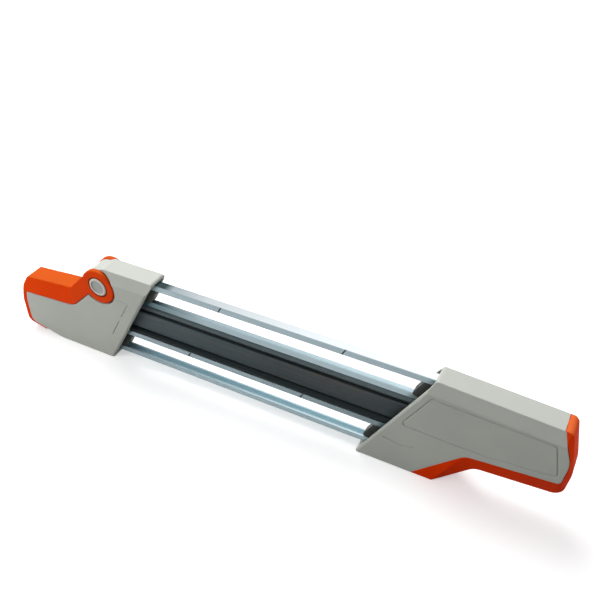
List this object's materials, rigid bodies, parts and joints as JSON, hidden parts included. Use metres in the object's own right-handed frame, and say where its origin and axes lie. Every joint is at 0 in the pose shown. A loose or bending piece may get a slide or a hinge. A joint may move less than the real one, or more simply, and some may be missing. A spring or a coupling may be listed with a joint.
{
  "type": "chainsaw file guide",
  "caption": "Hand-held guide for sharpening saw chain: two grip handles joined by folded rails, with a flat file and round files held between them and a release lever on one grip.",
  "frame": {"origin": "half way along the tool and through its thickness, on the long edge that it stands on", "axes": "+X along the tool from the lever's grip to the other grip, +Y through the thickness from the front to the rear, +Z across the width"},
  "size_m": [0.3572, 0.0188, 0.07],
  "materials": {
    "right_front_shell": "fine moulded texture",
    "right_rear_shell": "fine moulded texture",
    "right_grip_trim": "soft satin",
    "left_front_shell": "fine moulded texture",
    "left_rear_shell": "fine moulded texture",
    "left_end_trim": "soft satin",
    "lever": "satin",
    "pivot_shaft": "turned",
    "pivot_cap_front": "satin",
    "pivot_cap_rear": "satin",
    "release_cam": "moulded",
    "tang_clamp": "moulded",
    "clamp_spring": "drawn wire",
    "left_rail_carrier": "moulded",
    "right_rail_carrier": "moulded",
    "upper_outer_rail": "blue zinc plate",
    "upper_inner_rail": "blue zinc plate",
    "lower_inner_rail": "blue zinc plate",
    "lower_outer_rail": "blue zinc plate",
    "left_rail_pins": "turned",
    "right_rail_pins": "turned",
    "flat_file": "cut file teeth",
    "upper_round_file": "cut file teeth",
    "lower_round_file": "cut file teeth",
    "left_handle_screws": "zinc plate",
    "right_handle_screws": "zinc plate"
  },
  "bodies": {
    "handle_frame": {"right_front_shell": "right_front_shell", "right_rear_shell": "right_rear_shell", "right_grip_trim": "right_grip_trim", "left_front_shell": "left_front_shell", "left_rear_shell": "left_rear_shell", "left_end_trim": "left_end_trim", "clamp_spring": "clamp_spring", "left_rail_carrier": "left_rail_carrier", "right_rail_carrier": "right_rail_carrier", "upper_outer_rail": "upper_outer_rail", "upper_inner_rail": "upper_inner_rail", "lower_inner_rail": "lower_inner_rail", "lower_outer_rail": "lower_outer_rail", "left_rail_pins": "left_rail_pins", "right_rail_pins": "right_rail_pins", "flat_file": "flat_file", "upper_round_file": "upper_round_file", "lower_round_file": "lower_round_file", "left_handle_screws": "left_handle_screws", "right_handle_screws": "right_handle_screws"},
    "lever": {"lever": "lever", "pivot_shaft": "pivot_shaft", "pivot_cap_front": "pivot_cap_front", "pivot_cap_rear": "pivot_cap_rear", "release_cam": "release_cam"},
    "clamp": {"tang_clamp": "tang_clamp"}
  },
  "joints": [
    {"name": "lever_hinge", "type": "hinge", "parent": "handle_frame", "child": "lever", "pos_m": [-0.1075, 0, 0.057], "axis": [0, 1, 0], "range_deg": [0, 90]},
    {"name": "clamp_lift", "type": "slide", "parent": "handle_frame", "child": "clamp", "axis": [0, 0, 1], "range_m": [0, 0.0015], "deforming": ["clamp_spring"]}
  ],
  "couplings": [
    {"joint": "clamp_lift", "follows": "lever_hinge", "m_per_rad": 0.00095}
  ]
}
